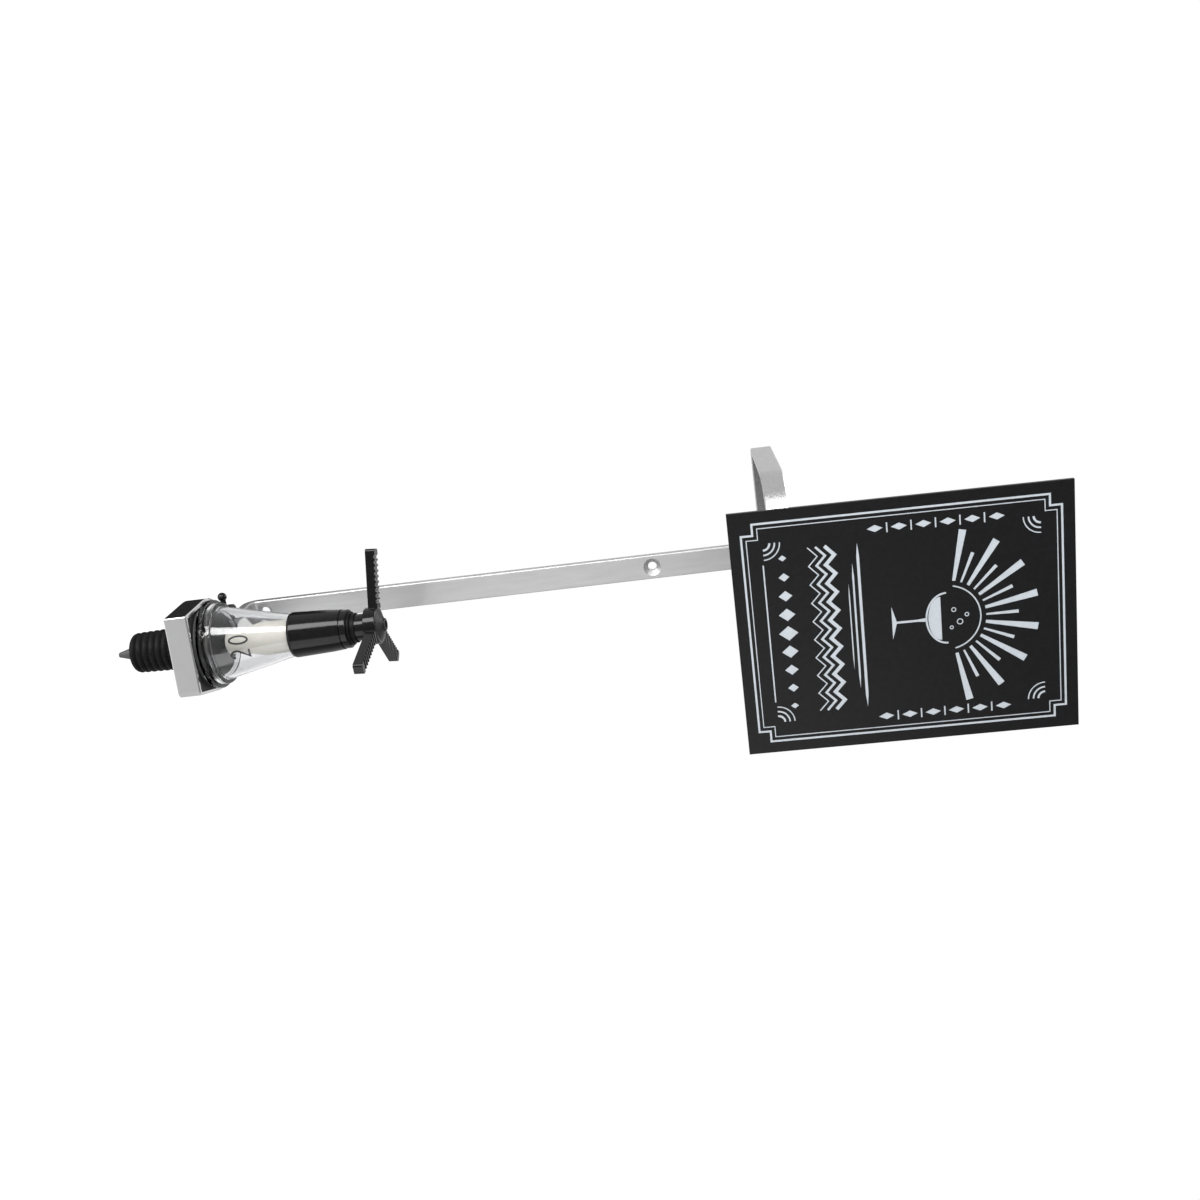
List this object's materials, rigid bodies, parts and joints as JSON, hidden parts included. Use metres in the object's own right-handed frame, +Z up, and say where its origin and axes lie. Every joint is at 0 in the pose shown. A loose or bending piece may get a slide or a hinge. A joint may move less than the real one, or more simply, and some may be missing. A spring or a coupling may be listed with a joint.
{
  "type": "spirit measure dispenser",
  "caption": "Wall-hung bar bracket with a bottle hoop, a sign plate and a push-up spirit measure: ribbed stopper, clear chamber, black valve body and sprung star lever.",
  "frame": {"origin": "midway between the two wall screw holes, on the wall plane", "axes": "+Y into the wall, +Z up the bracket, +X to the right as seen from the room"},
  "size_m": [0.121, 0.1512, 0.4716],
  "materials": {
    "satin_aluminium": "satin",
    "hoop_aluminium": "satin",
    "screw_steel": "bright",
    "sign_black": "satin",
    "pad_white": "foam",
    "collar_chrome": "polished",
    "black_plastic": "moulded",
    "black_gloss": "gloss",
    "black_rubber": "matt",
    "grey_plastic": "moulded",
    "clear_plastic": "clear",
    "cream_plastic": "translucent",
    "white_plastic": "moulded",
    "stainless": "bright"
  },
  "bodies": {
    "frame": {"back_bar": "satin_aluminium", "bottle_hoop": "hoop_aluminium", "hoop_rivets": "screw_steel", "sign_plate": "sign_black", "sign_pads": "pad_white", "collar_shell": "collar_chrome", "collar_core": "black_plastic", "clamp_block": "black_plastic", "arm_screws": "screw_steel", "collar_screws": "screw_steel", "ball_peg": "black_gloss", "ribbed_stopper": "black_rubber", "inlet_tube": "grey_plastic", "chamber_gasket": "black_rubber", "measuring_chamber": "clear_plastic", "inlet_stem": "black_plastic", "measure_tube": "cream_plastic", "air_vane": "white_plastic", "valve_body": "black_gloss", "end_cap": "black_gloss", "mouth_seal": "black_rubber", "return_spring": "stainless"},
    "plunger": {"spindle": "stainless", "inlet_seal": "black_rubber", "outlet_seal": "black_rubber", "plunger_sleeve": "black_gloss", "spindle_nut": "stainless", "sleeve_clip": "stainless"},
    "star": {"star_lever": "black_gloss", "spout_ring": "black_plastic"}
  },
  "joints": [
    {"name": "lever_slide", "type": "slide", "parent": "frame", "child": "plunger", "axis": [0, 0, -1], "range_m": [0, 0.007], "stiffness_N_per_m": 1000, "springref_m": -0.004, "deforming": ["return_spring"]},
    {"name": "star_turn", "type": "hinge", "parent": "plunger", "child": "star", "pos_m": [0, -0.058, -0.034], "axis": [0, 0, 1], "continuous": true}
  ]
}
